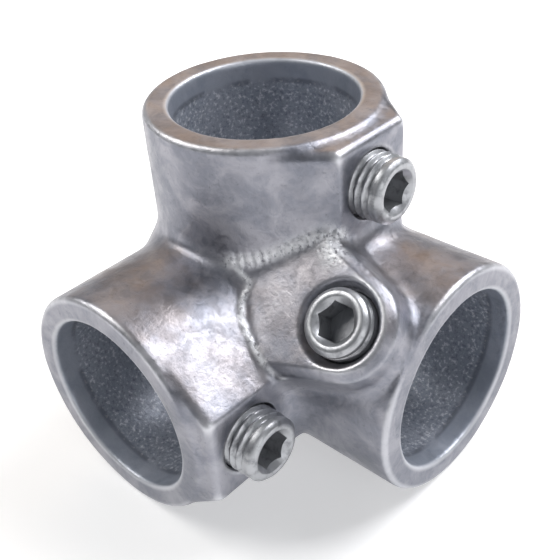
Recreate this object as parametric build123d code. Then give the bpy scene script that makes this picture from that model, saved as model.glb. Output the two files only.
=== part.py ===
from build123d import *
from math import acos, atan2, cos, hypot, radians, sin, sqrt, tan
import os

# Sockets, in millimetres. Three equal tube sockets meet at the origin.
tube_diameter = 42.4          # outside diameter of the tube that each socket takes
tube_clearance = 0.55         # gap all round the tube
wall = 6.35                   # casting wall round each bore
socket_reach = 55.8           # crossing of the axes to each mouth face
tube_end_gap = 2.65           # crossing of the axes to the ledge, beyond one bore radius
stop_width = 2.75             # how far the ledge stands in from the bore
mouth_bevel = 1.0             # outer edge of each mouth
bore_bevel = 0.7              # inner edge of each mouth
crook_radius = 2.6            # size of the cast blend in the crook between two sockets
crook_skim = 0.15             # the tube that makes the blend is this much slimmer than the sockets

# Screw bosses with a flat face, on the upright socket and the left socket
boss_face = 31.3              # socket axis to the boss face
boss_half_width = 11.1        # middle of the boss face to its ridges
boss_ridge_round = 1.5        # rounding along the ridges
boss_setback = 1.1            # the boss starts this far behind the mouth face
boss_end_round = 2.2          # rounding of the boss end beside the mouth
boss_screw_setback = 13.0     # mouth face to the screw axis

# Raised pad on the right socket, which fills the corner between all three sockets
pad_face = 35.2               # socket axis to the pad face
pad_nose_gap = 2.2            # mouth face to the tip of the round nose
pad_nose_radius = 11.7        # round end of the pad, seen from above
pad_flare = 18.0              # degrees that each side of the pad opens towards the corner
pad_draft = 6.0               # degrees that the pad walls lean out
pad_foot = 20.0               # height above the axis where the pad walls end inside the casting
pad_edge_bevel = 1.9          # bevel round the pad face
pad_screw_offset = 0.8        # centre of the nose to the screw axis, away from the mouth

# Gussets between the right socket and the two flat boss faces
gusset_height = 7.5           # crest above the right socket, on the middle of the boss face
gusset_slant = 32.9           # degrees that the crest climbs towards the pad
gusset_middle = (4.3, 6.3)    # a point halfway down the hollow face: outwards and down
gusset_toe = (11.0, 11.6)     # the foot of the hollow face: outwards and down
gusset_root = 3.0             # depth of the gusset inside the boss
gusset_depth = 16.0           # crest to the bottom of the gusset inside the right socket

# Set screws and their holes
screw_diameter = 15.4
screw_length = 14.0
screw_clearance = 0.05        # gap all round the screw in its hole
screw_standout = 6.6          # the two flat-boss screws stand this far out of their faces
pad_screw_standout = 1.9      # the pad screw stands this far out of its face
boss_sink = (8.3, 0.55)       # radius and depth of the countersink on a flat boss
pad_sink = (9.4, 2.6)         # radius and depth of the countersink on the pad
key_across_flats = 8.0        # hexagon for the key, with a flat bottom
key_depth = 6.5
key_lead_radius = 5.3         # chamfer round the mouth of the hexagon
screw_head_bevel = 0.9
screw_tip_bevel = 1.6

# Sizes that follow from the ones above
bore_radius = tube_diameter / 2 + tube_clearance
outer_radius = bore_radius + wall
passage_radius = bore_radius - stop_width
ledge_distance = bore_radius + tube_end_gap
socket_depth = socket_reach - ledge_distance
pad_nose_setback = pad_nose_radius + pad_nose_gap
pad_screw_setback = pad_nose_setback + pad_screw_offset
screw_radius = screw_diameter / 2
screw_hole_radius = screw_radius + screw_clearance
screw_hole_end = passage_radius / 2   # the drill stops in the open, this far from the socket axis
crook_step = (2 - sqrt(2)) * (outer_radius + crook_radius)  # the blend starts this far up a socket
past_surface = 5.0            # how far a cutting shape runs past the surface it opens
ridge_angle = atan2(boss_half_width, boss_face)
touch_angle = ridge_angle + acos(outer_radius / hypot(boss_half_width, boss_face))
boss_touch = (outer_radius * cos(touch_angle), outer_radius * sin(touch_angle))

# Directions of the sockets and of the pad
upright = Vector(0, 0, 1)
left = Vector(0, -1, 0)
right = Vector(1, 0, 0)
pad_normal = (upright + left).normalized()
pad_across = (upright - left).normalized()


# Frame of a socket: its local Z runs out of the mouth and its local X points at its screw
def socket_plane(axis, towards_screw, distance=0.0):
    return Plane(origin=axis * distance, x_dir=towards_screw, z_dir=axis)


# For each socket: axis, direction of its screw, face height, screw setback, standout, sink
sockets = {
    "upright": (upright, right, boss_face, boss_screw_setback, screw_standout, boss_sink),
    "left": (left, right, boss_face, boss_screw_setback, screw_standout, boss_sink),
    "right": (right, pad_normal, pad_face, pad_screw_setback, pad_screw_standout, pad_sink),
}


# Round barrel of a socket, with its outer mouth edge bevelled
def barrel():
    body = extrude(Circle(outer_radius), socket_reach)
    return chamfer(body.edges().group_by(Axis.Z)[-1], mouth_bevel)


# Outline of a flat boss, whose sides run off the barrel as tangents
def boss_outline(*nose):
    low, high = (boss_touch[0], -boss_touch[1]), boss_touch
    return Polygon((0, 0), low, *nose, high, align=None)


def flat_boss():
    section = boss_outline((boss_face, -boss_half_width), (boss_face, boss_half_width))
    section = fillet(section.vertices().group_by(Axis.X)[-1], boss_ridge_round)
    body = extrude(section, socket_reach - boss_setback)
    end_edges = body.edges().group_by(Axis.Z)[-1]
    outer_edges = [e for e in end_edges if (e @ 0.5).X > boss_touch[0]]
    return fillet(outer_edges, boss_end_round)


# Pad with a round nose, drawn on the pad face and drafted down into the casting
def pad():
    station = socket_reach - pad_nose_setback
    flare = radians(pad_flare)
    touch = (station + pad_nose_radius * sin(flare), pad_nose_radius * cos(flare))
    root = touch[1] + touch[0] * tan(flare)
    nose_start = pad_flare - 90
    outline = make_face([
        Line((0, root), touch),
        CenterArc((station, 0), pad_nose_radius, nose_start, -2 * nose_start),
        Line((touch[0], -touch[1]), (0, -root)),
        Line((0, -root), (0, root)),
    ])
    face_plane = Plane(origin=pad_normal * pad_face, x_dir=right, z_dir=pad_normal)
    body = extrude(face_plane * outline, pad_face - pad_foot, dir=-pad_normal, taper=-pad_draft)
    top = body.edges().group_by(Axis((0, 0, 0), pad_normal))[-1]
    rim = [e for e in top if (e @ 0.5).X > pad_edge_bevel]
    return chamfer(rim, pad_edge_bevel)


# Gusset with a hollow face, cut to the boss sides carried on to the point where they meet
def gusset(pad_side):
    slant = radians(gusset_slant) * pad_side
    crest = Vector(0, cos(slant), sin(slant))
    middle = (boss_face, 0, outer_radius + gusset_height)
    across = Plane(origin=middle, x_dir=(1, 0, 0), z_dir=-crest)
    profile = make_face([
        ThreePointArc((0, 0), (gusset_middle[0], -gusset_middle[1]),
                      (gusset_toe[0], -gusset_toe[1])),
        Polyline((gusset_toe[0], -gusset_toe[1]), (gusset_toe[0], -gusset_depth),
                 (-gusset_root, -gusset_depth), (-gusset_root, 0), (0, 0)),
    ])
    web = extrude(across * profile, socket_reach, both=True)
    side_slope = (boss_half_width - boss_touch[1]) / (boss_face - boss_touch[0])
    meeting_point = (boss_face - boss_half_width / side_slope, 0)
    return web & extrude(boss_outline(meeting_point), socket_reach - boss_setback)


# Tube laid slantwise from one socket axis to another, which blends the crook between them
def crook(first, second):
    start = Plane(origin=first * crook_step, z_dir=second - first)
    return extrude(start * Circle(outer_radius - crook_skim), crook_step * sqrt(2))


# Straight bore with its ledge, and the cored passage that joins it to the others
def bore():
    depth = socket_depth + past_surface
    straight = Pos(0, 0, ledge_distance) * extrude(Circle(bore_radius), depth)
    passage = extrude(Circle(passage_radius), socket_reach)
    lead = Pos(0, 0, socket_reach - bore_bevel) * Cone(
        bore_radius, bore_radius + bore_bevel, bore_bevel,
        align=(Align.CENTER, Align.CENTER, Align.MIN))
    return straight + passage + lead


# Screw hole and its countersink, drawn along Z with the boss face at Z = 0
def screw_hole(depth, sink):
    sink_radius, sink_depth = sink
    drill = Pos(0, 0, -depth) * extrude(Circle(screw_hole_radius), depth + past_surface)
    cone = Pos(0, 0, -sink_depth) * Cone(
        screw_hole_radius, sink_radius, sink_depth,
        align=(Align.CENTER, Align.CENTER, Align.MIN))
    mouth = extrude(Circle(sink_radius), past_surface)
    return drill + cone + mouth


# Set screw along Z with its key end at Z = 0
def set_screw():
    body = Pos(0, 0, -screw_length) * extrude(Circle(screw_radius), screw_length)
    body = chamfer(body.edges().group_by(Axis.Z)[-1], screw_head_bevel)
    body = chamfer(body.edges().group_by(Axis.Z)[0], screw_tip_bevel)
    hexagon = RegularPolygon(key_across_flats / 2, 6, major_radius=False)
    lead = Cone(0, key_lead_radius, key_lead_radius,
                align=(Align.CENTER, Align.CENTER, Align.MAX))
    return body - Pos(0, 0, -key_depth) * extrude(hexagon, key_depth) - lead


# Frame of a screw: origin on the boss face, local Z out of the casting
def screw_plane(name, standout=0.0):
    axis, towards_screw, face, setback, *_ = sockets[name]
    origin = axis * (socket_reach - setback) + towards_screw * (face + standout)
    return Plane(origin=origin, x_dir=axis, z_dir=towards_screw)


def casting():
    body = Sphere(outer_radius)
    for axis, towards_screw, *_ in sockets.values():
        body += socket_plane(axis, towards_screw) * barrel()
    for name, pad_side in (("upright", -1), ("left", 1)):
        axis, towards_screw, *_ = sockets[name]
        body += socket_plane(axis, towards_screw) * (flat_boss() + gusset(pad_side))
    for first, second in ((upright, left), (left, right), (right, upright)):
        body += crook(first, second)
    body += pad()
    body -= Sphere(passage_radius)
    for axis, towards_screw, *_ in sockets.values():
        body -= socket_plane(axis, towards_screw) * bore()
    for name, (_, _, face, _, _, sink) in sockets.items():
        body -= screw_plane(name) * screw_hole(face - screw_hole_end, sink)
    return body


os.makedirs("parts", exist_ok=True)
export_step(casting(), "parts/casting.step")
for name, (*_, standout, _) in sockets.items():
    export_step(screw_plane(name, standout) * set_screw(), f"parts/{name}_set_screw.step")
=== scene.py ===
import math

import bmesh
import bpy
from mathutils import Matrix, Vector, noise


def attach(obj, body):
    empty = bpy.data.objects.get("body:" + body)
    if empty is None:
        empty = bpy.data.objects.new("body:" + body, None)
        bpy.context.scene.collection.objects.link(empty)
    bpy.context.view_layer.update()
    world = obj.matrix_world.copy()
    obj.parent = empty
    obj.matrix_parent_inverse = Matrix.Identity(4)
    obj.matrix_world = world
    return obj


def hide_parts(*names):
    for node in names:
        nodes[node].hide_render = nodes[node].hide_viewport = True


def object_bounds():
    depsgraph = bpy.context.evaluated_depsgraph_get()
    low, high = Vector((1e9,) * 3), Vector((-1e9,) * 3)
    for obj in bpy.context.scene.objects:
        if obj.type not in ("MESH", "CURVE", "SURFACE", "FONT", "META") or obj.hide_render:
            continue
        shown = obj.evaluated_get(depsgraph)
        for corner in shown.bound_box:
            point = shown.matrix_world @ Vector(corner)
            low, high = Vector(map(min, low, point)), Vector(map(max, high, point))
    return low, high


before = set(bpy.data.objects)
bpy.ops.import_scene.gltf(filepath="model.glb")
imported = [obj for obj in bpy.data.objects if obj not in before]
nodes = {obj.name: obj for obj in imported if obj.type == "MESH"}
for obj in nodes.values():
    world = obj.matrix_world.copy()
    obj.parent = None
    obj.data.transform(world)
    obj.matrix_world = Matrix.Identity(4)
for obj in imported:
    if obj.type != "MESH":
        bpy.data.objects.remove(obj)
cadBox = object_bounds()
print("frame loaded:", ", ".join(sorted(nodes)))

mm = 0.001
padNormal = Vector((0, -1, 1)).normalized()
socketReach = cadBox[1].z      # the upright mouth is the highest point
barrelRadius = cadBox[1].y     # the upright barrel reaches farthest to the back


# A shader socket, so that shader maths reads as plain expressions
class Flow:
    def __init__(self, paint, socket):
        self.paint, self.socket = paint, socket

    def maths(self, operation, a, b=0.0):
        return self.paint.node("ShaderNodeMath", {"operation": operation}, {0: a, 1: b})["Value"]

    def __add__(self, other):
        return self.maths("ADD", self, other)

    __radd__ = __add__

    def __mul__(self, other):
        return self.maths("MULTIPLY", self, other)

    __rmul__ = __mul__

    def __sub__(self, other):
        return self.maths("SUBTRACT", self, other)

    def __rsub__(self, other):
        return self.maths("SUBTRACT", other, self)

    def __abs__(self):
        return self.maths("ABSOLUTE", self)

    def root(self):
        return self.maths("SQRT", self)

    def most(self, other):
        return self.maths("MAXIMUM", self, other)


# A material, built node by node
class Paint:
    def __init__(self, name):
        self.material = bpy.data.materials.new(name)
        self.material.use_nodes = True
        self.tree = self.material.node_tree
        self.tree.nodes.clear()

    def node(self, kind, settings=None, values=None):
        made = self.tree.nodes.new(kind)
        for key, value in (settings or {}).items():
            setattr(made, key, value)
        for key, value in (values or {}).items():
            if isinstance(value, Flow):
                self.tree.links.new(value.socket, made.inputs[key])
            else:
                made.inputs[key].default_value = value
        return {output.name: Flow(self, output) for output in made.outputs if output.enabled}

    def place(self):
        return self.node("ShaderNodeTexCoord")["Object"]

    def parts(self, vector):
        split = self.node("ShaderNodeSeparateXYZ", None, {0: vector})
        return split["X"], split["Y"], split["Z"]

    def shifted(self, offset):
        return self.node("ShaderNodeVectorMath", {"operation": "ADD"},
                         {0: self.place(), 1: offset})["Vector"]

    # grain is the size of one patch in metres
    def clouds(self, grain, detail=4.0, rough=0.55, seed=0.0, warp=0.0):
        return self.node("ShaderNodeTexNoise", {"noise_dimensions": "3D"},
                         {"Vector": self.shifted((seed, -seed, 2 * seed)), "Scale": 1 / grain,
                          "Detail": detail, "Roughness": rough, "Distortion": warp})["Fac"]

    def crystals(self, grain, seed=0.0):
        return self.node("ShaderNodeTexVoronoi", {"feature": "F1"},
                         {"Vector": self.shifted((seed, seed, -seed)), "Scale": 1 / grain})

    def step(self, value, low, high, start=0.0, end=1.0):
        return self.node("ShaderNodeMapRange", {"interpolation_type": "SMOOTHSTEP"},
                         {"Value": value, "From Min": low, "From Max": high,
                          "To Min": start, "To Max": end})["Result"]

    def blend(self, share, first, second):
        first, second = (c if isinstance(c, Flow) else (*c, 1.0) for c in (first, second))
        mixed = self.node("ShaderNodeMix", {"data_type": "RGBA"}, {0: share, 6: first, 7: second})
        return mixed["Result"]

    def bump(self, height, strength, distance):
        return self.node("ShaderNodeBump", None, {"Height": height, "Strength": strength,
                                                  "Distance": distance})["Normal"]

    def finish(self, shader):
        self.node("ShaderNodeOutputMaterial", None, {"Surface": shader})
        return self.material

    def metal(self, colour, roughness, metallic, normal):
        return self.finish(self.node("ShaderNodeBsdfPrincipled", None, {
            "Base Color": colour, "Roughness": roughness, "Metallic": metallic,
            "Normal": normal})["BSDF"])


# Hot-dip zinc on the casting: mottled crystals and dark specks, with painted light: a warm
# reflection on upward faces, shade in creases, a shadow line in each mouth and highlights on
# edges and seams
zincCoat = {
    "cool": (0.225, 0.235, 0.275),
    "pale": (0.37, 0.37, 0.41),
    "inside": (0.36, 0.41, 0.49),
    "darkSpeckAndShade": (0.075, 0.08, 0.095),
    "warmReflection": (0.28, 0.21, 0.16),
    "brightZincAndHighlight": (0.90, 0.91, 0.94),
    "metallic": 0.85,
    "seamDulling": 0.35,       # loss of metallic shine on the rough seams
    "insideDulling": 0.45,     # the same inside the sockets
    "roughness": (0.32, 0.48),
    "speckRoughness": 0.12,
    "bore": (22.1 * mm, 22.8 * mm),        # between the bore wall and the outer skin
    "boreStart": (14 * mm, 18 * mm),       # where a socket's inside begins, along its axis
    "shadowLineDepth": 5.6 * mm,                 # painted shadow line below each mouth
    "shadowLineWidth": (0.2 * mm, 1.1 * mm),
    "speckledBelow": (5.0 * mm, 7.0 * mm), # the skin is rough below this depth
    "bump": (0.6, 0.45 * mm),
}


# For each socket: how far out along its axis, and how far from its axis
def socketCoordinates(p):
    x, y, z = p.parts(p.place())
    return [(z, (x * x + y * y).root()), (0.0 - y, (x * x + z * z).root()),
            (x, (y * y + z * z).root())]


def galvanised(settings):
    p = Paint("galvanisedCasting")
    up = p.parts(p.node("ShaderNodeTexCoord")["Normal"])[2]
    point = p.node("ShaderNodeNewGeometry")["Pointiness"]
    patches = p.clouds(9 * mm, 4.0, 0.6, 0.11, 0.6)
    blotches = p.clouds(3.2 * mm, 4.0, 0.62, 0.31, 0.8)
    specks = p.clouds(0.9 * mm, 4.0, 0.65, 0.17)
    grain = p.clouds(0.32 * mm, 3.0, 0.6, 0.53)
    facets = p.parts(p.crystals(1.6 * mm, 0.07)["Color"])[0]

    colour = p.blend(p.step(patches, 0.36, 0.66), settings["cool"], settings["pale"])
    colour = p.blend(p.step(blotches, 0.50, 0.72) * 0.4, colour, settings["pale"])
    colour = p.blend(p.step(facets, 0.2, 1.0) * 0.2, colour, settings["pale"])
    colour = p.blend(p.step(blotches, 0.44, 0.28) * 0.25, colour, settings["darkSpeckAndShade"])
    colour = p.blend(p.step(specks, 0.62, 0.74) * 0.3, colour, settings["darkSpeckAndShade"])

    # inside the sockets the skin is speckled, and a painted shadow line runs round under each
    # mouth
    outside, interior = 1.0, 0.0
    shadowLineAt = socketReach - settings["shadowLineDepth"]
    shallow, deep = settings["speckledBelow"]
    for along, away in socketCoordinates(p):
        within = p.step(away, *settings["bore"], 1.0, 0.0) * p.step(along, *settings["boreStart"])
        outside = (1.0 - within) * outside
        shadowLine = p.step(abs(along - shadowLineAt), *settings["shadowLineWidth"], 1.0, 0.0)
        shadowLine = shadowLine * p.step(patches, 0.62, 0.45)
        interior = within + interior
        colour = p.blend(within * 0.5, colour, settings["inside"])
        colour = p.blend(within * shadowLine * 0.5, colour, settings["darkSpeckAndShade"])
        rough = within * p.step(along, socketReach - shallow, socketReach - deep)
        colour = p.blend(rough * p.step(specks, 0.54, 0.64) * 0.55, colour, settings["brightZincAndHighlight"])
        colour = p.blend(rough * p.step(specks, 0.45, 0.36) * 0.4, colour, settings["darkSpeckAndShade"])
    # painted warm reflection: upward-facing outer surfaces take a warm tint
    paintedWarmReflection = p.step(up, 0.40, 0.95) * p.step(p.clouds(14 * mm, 4.0, 0.6, 0.9), 0.35, 0.65)
    colour = p.blend(outside * paintedWarmReflection * 0.38, colour, settings["warmReflection"])

    seam = p.node("ShaderNodeAttribute", {"attribute_name": "roughSeam"})["Fac"]
    # seam metal painted bright: partly lighter rough zinc, partly a painted highlight on its
    # ripples
    colour = p.blend(seam * p.step(specks, 0.32, 0.50) * 0.95, colour, settings["brightZincAndHighlight"])

    # bright edges are wear and painted highlight; creases are darkened with painted shade
    edge = p.node("ShaderNodeAttribute", {"attribute_name": "edgeWearAndHighlight"})["Fac"]
    colour = p.blend(p.step(edge, 0.45, 0.95) * 0.55, colour, settings["brightZincAndHighlight"])
    # painted shade: concave creases darker
    colour = p.blend(p.step(point, 0.485, 0.44) * 0.55, colour, settings["darkSpeckAndShade"])

    low, high = settings["roughness"]
    roughness = p.step(blotches, 0.30, 0.70, low, high)
    roughness = roughness + p.step(specks, 0.55, 0.75) * settings["speckRoughness"]
    height = patches * 0.2 + blotches * 0.3 + specks * (0.18 + 0.5 * seam) + grain * 0.06
    dulled = (seam * settings["seamDulling"]).most(interior * settings["insideDulling"])
    return p.metal(colour, roughness, settings["metallic"] - dulled,
                   p.bump(height, *settings["bump"]))


# Zinc-plated steel of the set screws
screwSteel = {
    "base": (0.44, 0.45, 0.47),
    "stainAndShade": (0.13, 0.135, 0.15),
    "metallic": 0.8,
    "roughness": (0.30, 0.46),
    "bump": (0.3, 0.2 * mm),
}


def platedSteel(settings):
    p = Paint("setScrewSteel")
    haze = p.clouds(2.2 * mm, 4.0, 0.6, 0.2)
    fine = p.clouds(0.35 * mm, 3.0, 0.6, 0.4)
    point = p.node("ShaderNodeNewGeometry")["Pointiness"]
    colour = p.blend(p.step(haze, 0.48, 0.72) * 0.6, settings["base"], settings["stainAndShade"])
    # painted shade: thread roots and socket corners darker
    colour = p.blend(p.step(point, 0.49, 0.42) * 0.7, colour, settings["stainAndShade"])
    low, high = settings["roughness"]
    return p.metal(colour, p.step(haze, 0.3, 0.7, low, high), settings["metallic"],
                   p.bump(haze * 0.4 + fine * 0.3, *settings["bump"]))


def newPiece(name, shell):
    mesh = bpy.data.meshes.new(name)
    shell.to_mesh(mesh)
    shell.free()
    piece = bpy.data.objects.new(name, mesh)
    bpy.context.scene.collection.objects.link(piece)
    return piece


# The cast skin: creases run together as molten iron leaves them, and the zinc lies uneven.
# Seams of rough metal run where the pad meets the upright barrel and the left barrel.
castSkin = {
    "voxel": 0.5 * mm,
    "weld": 0.002 * mm,        # corners nearer than this are one corner
    "edgeSteps": 2,            # smoothing for every edge
    "creaseSteps": 60,         # more smoothing, kept only where it fills a crease
    "edgePull": 0.8 * mm,      # an edge that heavy smoothing pulls in this far counts as fully bright (wear and painted highlight)
    "keep": 0.38,              # share of the triangles that is kept
    "waves": ((12 * mm, 0.13 * mm), (4.5 * mm, 0.07 * mm), (1.8 * mm, 0.035 * mm)),
    "upperSeam": {"width": 1.5 * mm, "height": 0.42 * mm, "ripple": 1.9 * mm, "points": (
        (11.5, -26.1, 28.5), (16.4, -23.1, 29.4), (21.8, -19.0, 32.0), (27.1, -15.1, 35.2),
        (31.2, -11.3, 35.5))},
    "lowerSeam": {"width": 0.75 * mm, "height": 0.30 * mm, "ripple": 3.5 * mm, "points": (
        (13.1, -25.9, 27.5), (16.7, -25.5, 24.7), (17.4, -29.1, 22.5), (19.9, -32.2, 20.1),
        (23.7, -33.7, 17.4), (28.3, -35.1, 14.6), (32.8, -33.6, 11.5))},
    "seamMiddle": Vector((20, -22, 22)) * mm,
    "seamReach": 26 * mm,      # no seam runs farther than this from its middle
    "seamWander": 1.1 * mm,
    "brightLump": {"width": 2.6 * mm, "height": 0.25 * mm, "ripple": 1.3 * mm, "points": (
        (29.8, -13.8, 35.0), (32.8, -15.6, 33.6))},
}


def settled(piece):
    bpy.context.view_layer.update()
    graph = bpy.context.evaluated_depsgraph_get()
    mesh = bpy.data.meshes.new_from_object(piece.evaluated_get(graph))
    bpy.data.objects.remove(piece)
    return mesh


def evenShell(node, voxel, weld):
    shell = bmesh.new()
    shell.from_mesh(nodes[node].data)
    bmesh.ops.remove_doubles(shell, verts=shell.verts, dist=weld)
    piece = newPiece("evenShell", shell)
    remesh = piece.modifiers.new("evenShell", "REMESH")
    remesh.mode, remesh.voxel_size = "VOXEL", voxel
    shell = bmesh.new()
    shell.from_mesh(settled(piece))
    return shell


def soften(shell, steps):
    for _ in range(steps):
        bmesh.ops.smooth_vert(shell, verts=shell.verts, factor=0.5,
                              use_axis_x=True, use_axis_y=True, use_axis_z=True)
    shell.normal_update()


# How strongly a seam shows at a place, and how far along the seam that is
def seamShare(place, seam):
    points = [Vector(point) * mm for point in seam["points"]]
    nearest, along, run = 1.0, 0.0, 0.0
    for start, end in zip(points, points[1:]):
        piece = end - start
        share = min(1.0, max(0.0, (place - start).dot(piece) / piece.length_squared))
        gap = (place - start - piece * share).length
        if gap < nearest:
            nearest, along = gap, run + share * piece.length
        run += piece.length
    return math.exp(-(nearest / seam["width"]) ** 2), along


# Where the gusset under a flat boss is hollowed out, from the boss face to the right barrel
gussetHollow = {
    "face": 31.3 * mm,         # boss face
    "low": 26 * mm,            # nothing is hollowed below this height
    "halfWidth": 14 * mm,
    "barrelGap": 0.2 * mm,     # the barrel's own skin is left alone
    "crest": 34.0 * mm,        # height of the crest along the socket
    "fall": 8.0 * mm,          # crest to toe
    "reach": 8.5 * mm,         # face to toe
    "curve": 2.63,
    "padEdge": 11.13 * mm,     # half width of the pad where its nose begins
    "padStart": 45.5 * mm,     # distance out along the right socket of that place
    "padFlare": 0.325,         # slope of the pad's sides, seen from above
    "padFace": 35.2 * mm,
    "padDraft": 0.105,         # slope of the pad's walls
}


# Height runs up the socket and side runs across it towards the pad
def hollowGusset(place, height, side, settings):
    if height < settings["low"] or place.x < settings["face"]:
        return
    if abs(side) > settings["halfWidth"]:
        return
    if math.hypot(height, side) < barrelRadius + settings["barrelGap"]:
        return
    drop = max(0.0, settings["crest"] - height) / settings["fall"]
    surface = settings["face"] + settings["reach"] * drop ** settings["curve"]
    across = abs(height - side) / math.sqrt(2)
    draft = (settings["padFace"] - (height + side) / math.sqrt(2)) * settings["padDraft"]
    wall = settings["padStart"] - (across - draft - settings["padEdge"]) / settings["padFlare"]
    place.x = min(place.x, max(surface, wall))


def castBody(settings):
    shell = evenShell("casting", settings["voxel"], settings["weld"])
    for v in shell.verts:
        hollowGusset(v.co, -v.co.y, v.co.z, gussetHollow)
        hollowGusset(v.co, v.co.z, -v.co.y, gussetHollow)
    soften(shell, settings["edgeSteps"])
    before = [(v.co.copy(), v.normal.copy()) for v in shell.verts]
    soften(shell, settings["creaseSteps"])
    wearAndHighlight = shell.verts.layers.float.new("edgeWearAndHighlight")
    for v, (place, normal) in zip(shell.verts, before):
        pull = (place - v.co).dot(normal)
        if pull > 0:
            v.co = place
            v[wearAndHighlight] = min(1.0, pull / settings["edgePull"])
    soften(shell, 1)
    seams = [settings["upperSeam"], settings["lowerSeam"], settings["brightLump"]]
    middle, reach = settings["seamMiddle"], settings["seamReach"]
    for v in shell.verts:
        lift = sum(depth * (noise.noise(v.co / length) - 1) / 2
                   for length, depth in settings["waves"])
        if (v.co - middle).length < reach:
            for seam in seams:
                share, along = seamShare(v.co, seam)
                wander = noise.noise(v.co / settings["seamWander"])
                wave = 2 * math.pi * along / seam["ripple"] + 2 * wander
                ripple = 0.62 + 0.38 * math.sin(wave)
                lift += seam["height"] * share * (ripple + 0.3 * wander)
        v.co += v.normal * lift
    piece = newPiece("castBody", shell)
    thin = piece.modifiers.new("thin", "DECIMATE")
    thin.ratio = settings["keep"]
    mesh = settled(piece)
    rough = mesh.attributes.new("roughSeam", "FLOAT", "POINT")
    for v in mesh.vertices:
        if (v.co - middle).length < reach:
            rough.data[v.index].value = max(seamShare(v.co, seam)[0] for seam in seams)
    piece = bpy.data.objects.new("castBody", mesh)
    bpy.context.scene.collection.objects.link(piece)
    return piece


body = castBody(castSkin)
print("casting skin:", sum(len(f.vertices) - 2 for f in body.data.polygons), "triangles")
body.data.materials.append(galvanised(zincCoat))
body.data.shade_smooth()
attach(body, "fitting")
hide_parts("casting")


# Hexagon-socket set screws with a rolled thread below a plain band
setScrew = {
    "segments": 96,
    "radius": 7.6 * mm,
    "length": 14.0 * mm,
    "pitch": 1.85 * mm,
    "threadDepth": 0.85 * mm,
    "band": 2.1 * mm,          # plain band below the head
    "bandRadius": 7.4 * mm,
    "headBevel": 0.9 * mm,
    "tipBevel": 1.6 * mm,
    "threadStep": 0.14 * mm,
    "halfFlats": 4.0 * mm,
    "keyDepth": 6.4 * mm,
    "leadRadius": 5.3 * mm,
    "easing": 0.1 * mm,        # how softly the edges of the head are broken
    "sharpAngle": 38,          # degrees above which an edge is shaded sharp
}


# Carries an open rim on to a new radius and height, each of which may depend on the angle
def carry(shell, rim, radius, height):
    made = bmesh.ops.extrude_edge_only(shell, edges=rim)["geom"]
    for v in made:
        if isinstance(v, bmesh.types.BMVert):
            angle = math.atan2(v.co.y, v.co.x)
            reach = radius(angle) if callable(radius) else radius
            v.co = (reach * math.cos(angle), reach * math.sin(angle),
                    height(angle) if callable(height) else height)
    return [e for e in made if isinstance(e, bmesh.types.BMEdge) and e.is_boundary]


def screwShell(settings):
    radius, length, pitch = settings["radius"], settings["length"], settings["pitch"]
    band, bevel = settings["band"], settings["headBevel"]

    def thread(z):
        fade = min(1.0, (z + length) / settings["tipBevel"], (-band - z) / (0.6 * pitch))
        fade = max(0.0, fade)

        def reach(angle):
            turn = (z / pitch + angle / (2 * math.pi)) % 1.0
            groove = min(1.0, max(0.0, 1.35 * abs(2 * turn - 1) - 0.18))
            root = radius - settings["threadDepth"] * (1 - groove)
            top = radius - settings["tipBevel"]
            if z > -band - 0.5 * pitch:
                top = settings["bandRadius"]
            return min(root, top + (radius - top) * fade) if fade < 1 else root
        return reach

    def hexagon(angle):
        sixth = math.pi / 3
        return settings["halfFlats"] / math.cos((angle + sixth / 2) % sixth - sixth / 2)

    shell = bmesh.new()
    bmesh.ops.create_circle(shell, cap_ends=True, segments=settings["segments"],
                            radius=radius - settings["tipBevel"])
    bmesh.ops.translate(shell, verts=shell.verts, vec=(0, 0, -length))
    rim = list(shell.edges)
    rings = int((length - band) / settings["threadStep"])
    for i in range(1, rings + 1):
        z = -length + (length - band) * i / rings
        rim = carry(shell, rim, thread(z), z)
    outer, lead, easing = settings["bandRadius"], settings["leadRadius"], settings["easing"]
    profile = [
        (outer, -band + 1.5 * easing), (outer, -bevel - easing),
        (outer - 0.8 * easing, -bevel + easing), (outer - bevel + easing, -1.4 * easing),
        (outer - bevel - 1.2 * easing, 0), (lead + easing, 0), (lead - easing, -easing),
        (hexagon, lambda angle: hexagon(angle) - lead), (hexagon, -settings["keyDepth"]),
    ]
    for reach, height in profile:
        rim = carry(shell, rim, reach, height)
    bmesh.ops.edgeloop_fill(shell, edges=rim)
    bmesh.ops.recalc_face_normals(shell, faces=shell.faces)
    return shell


# Head centre of a CAD screw, from its own corners along and across its axis
def headCentre(node, way):
    side = Vector((1, 0, 0)) if abs(way.x) < 0.5 else Vector((0, 0, 1))
    across = way.cross(side)
    places = [v.co for v in nodes[node].data.vertices]
    centre = way * max(p.dot(way) for p in places)
    for direction in (side, across):
        spread = [p.dot(direction) for p in places]
        centre += direction * (max(spread) + min(spread)) / 2
    return centre


steel = platedSteel(screwSteel)
screwWays = {"upright": Vector((1, 0, 0)), "left": Vector((1, 0, 0)), "right": padNormal}
for index, (name, way) in enumerate(screwWays.items()):
    shell = screwShell(setScrew)
    turn = way.to_track_quat("Z", "X").to_matrix().to_4x4()
    bmesh.ops.transform(shell, verts=shell.verts,
                        matrix=Matrix.Translation(headCentre(name + "_set_screw", way)) @ turn)
    screw = newPiece(name + "SetScrew", shell)
    screw.data.materials.append(steel)
    screw.data.shade_smooth()
    screw.data.set_sharp_from_angle(angle=math.radians(setScrew["sharpAngle"]))
    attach(screw, name + "_screw")
    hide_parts(name + "_set_screw")
print("set screws made")


# Floor, which looks white and keeps the shadow
studio = {
    "floorSize": 3.0,
    "floorColour": (0.80, 0.80, 0.80, 1.0),
    "glowNear": (0.42, 0.42, 0.42),
    "glowFar": (1.0, 1.0, 1.0),
    "glowRange": (0.12, 0.55),     # metres from the object over which the glow grows
    "worldColour": (0.92, 0.95, 1.0, 1.0),
    "worldStrength": 0.22,
}


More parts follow.
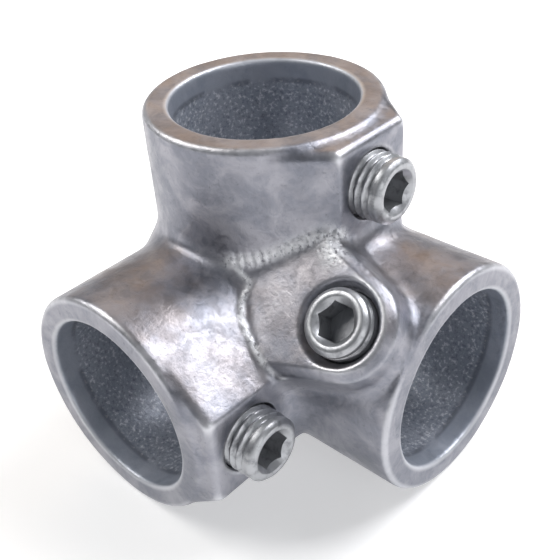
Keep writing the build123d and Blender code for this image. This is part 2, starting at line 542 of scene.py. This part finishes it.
def floorPaint(settings):
    p = Paint("paleFloor")
    ray = p.node("ShaderNodeLightPath")
    seen = ray["Is Camera Ray"].most(ray["Is Glossy Ray"]).most(ray["Is Transmission Ray"])
    dull = p.node("ShaderNodeBsdfDiffuse", None, {"Color": settings["floorColour"]})["BSDF"]
    x, y, z = p.parts(p.place())
    far = p.step((x * x + y * y).root(), *settings["glowRange"])
    colour = p.blend(far, settings["glowNear"], settings["glowFar"])
    glow = p.node("ShaderNodeEmission", None, {"Color": colour})["Emission"]
    bright = p.node("ShaderNodeAddShader", None, {0: dull, 1: glow})["Shader"]
    return p.finish(p.node("ShaderNodeMixShader", None, {0: seen, 1: dull, 2: bright})["Shader"])


plate = bmesh.new()
bmesh.ops.create_grid(plate, x_segments=1, y_segments=1, size=studio["floorSize"] / 2)
bmesh.ops.translate(plate, verts=plate.verts, vec=(0, 0, cadBox[0].z))
floor = newPiece("floor", plate)
floor.data.materials.append(floorPaint(studio))

world = bpy.data.worlds.new("studio")
world.use_nodes = True
bpy.context.scene.world = world
sky = world.node_tree.nodes["Background"]
sky.inputs["Color"].default_value = studio["worldColour"]
sky.inputs["Strength"].default_value = studio["worldStrength"]
white = world.node_tree.nodes.new("ShaderNodeBackground")
white.inputs["Color"].default_value = (1, 1, 1, 1)
seen = world.node_tree.nodes.new("ShaderNodeLightPath")
either = world.node_tree.nodes.new("ShaderNodeMixShader")
output = world.node_tree.nodes["World Output"]
for start, end in ((seen.outputs["Is Camera Ray"], either.inputs["Fac"]),
                   (sky.outputs["Background"], either.inputs[1]),
                   (white.outputs["Background"], either.inputs[2]),
                   (either.outputs["Shader"], output.inputs["Surface"])):
    world.node_tree.links.new(start, end)


def softLight(name, direction, distance, width, power, colour):
    data = bpy.data.lights.new(name, "AREA")
    data.shape, data.size = "SQUARE", width
    data.energy, data.color = power, colour
    light = bpy.data.objects.new(name, data)
    bpy.context.scene.collection.objects.link(light)
    way = Vector(direction).normalized()
    turn = way.to_track_quat("Z", "Y").to_matrix().to_4x4()
    light.matrix_world = Matrix.Translation(way * distance) @ turn


# For each lamp: direction, distance, width of its square, power, colour
lamps = {
    "leftPanel": ((0.30, 0.56, 0.77), 0.8, 0.46, 6.0, (0.98, 0.98, 1.0)),
    "rightPanel": ((-0.575, -0.345, 0.743), 0.8, 0.46, 3.2, (1.0, 0.98, 0.95)),
    "behind": ((-0.575, 0.58, 0.577), 0.8, 0.6, 1.0, (1.0, 0.74, 0.52)),
    "right": ((0.9, -0.3, 0.3), 0.8, 0.4, 1.0, (1.0, 1.0, 1.0)),
}
for name, (direction, distance, width, power, colour) in lamps.items():
    softLight(name, direction, distance, width, power, colour)
print("lights placed")

# Camera where the photograph was taken from
lookFrom = {"place": (0.131294, -0.131557, 0.135009), "azimuth": 44.788, "height": 35.204,
            "roll": -4.316, "focalPixels": 867.871, "framePixels": 560, "sensor": 36.0,
            "clip": (0.01, 20.0)}
azimuth, height, roll = (math.radians(lookFrom[k]) for k in ("azimuth", "height", "roll"))
backward = Vector((math.sin(azimuth) * math.cos(height), -math.cos(azimuth) * math.cos(height),
                   math.sin(height)))
sideways = Vector((math.cos(azimuth), math.sin(azimuth), 0))
upwards = backward.cross(sideways)
across = math.cos(roll) * sideways + math.sin(roll) * upwards
above = math.cos(roll) * upwards - math.sin(roll) * sideways
camera = bpy.data.objects.new("camera", bpy.data.cameras.new("camera"))
bpy.context.scene.collection.objects.link(camera)
camera.data.sensor_width, camera.data.sensor_fit = lookFrom["sensor"], "HORIZONTAL"
camera.data.lens = lookFrom["sensor"] * lookFrom["focalPixels"] / lookFrom["framePixels"]
camera.data.clip_start, camera.data.clip_end = lookFrom["clip"]
turn = Matrix((across, above, backward)).transposed().to_4x4()
camera.matrix_world = Matrix.Translation(lookFrom["place"]) @ turn
bpy.context.scene.camera = camera
bpy.context.scene.view_settings.view_transform = "Standard"
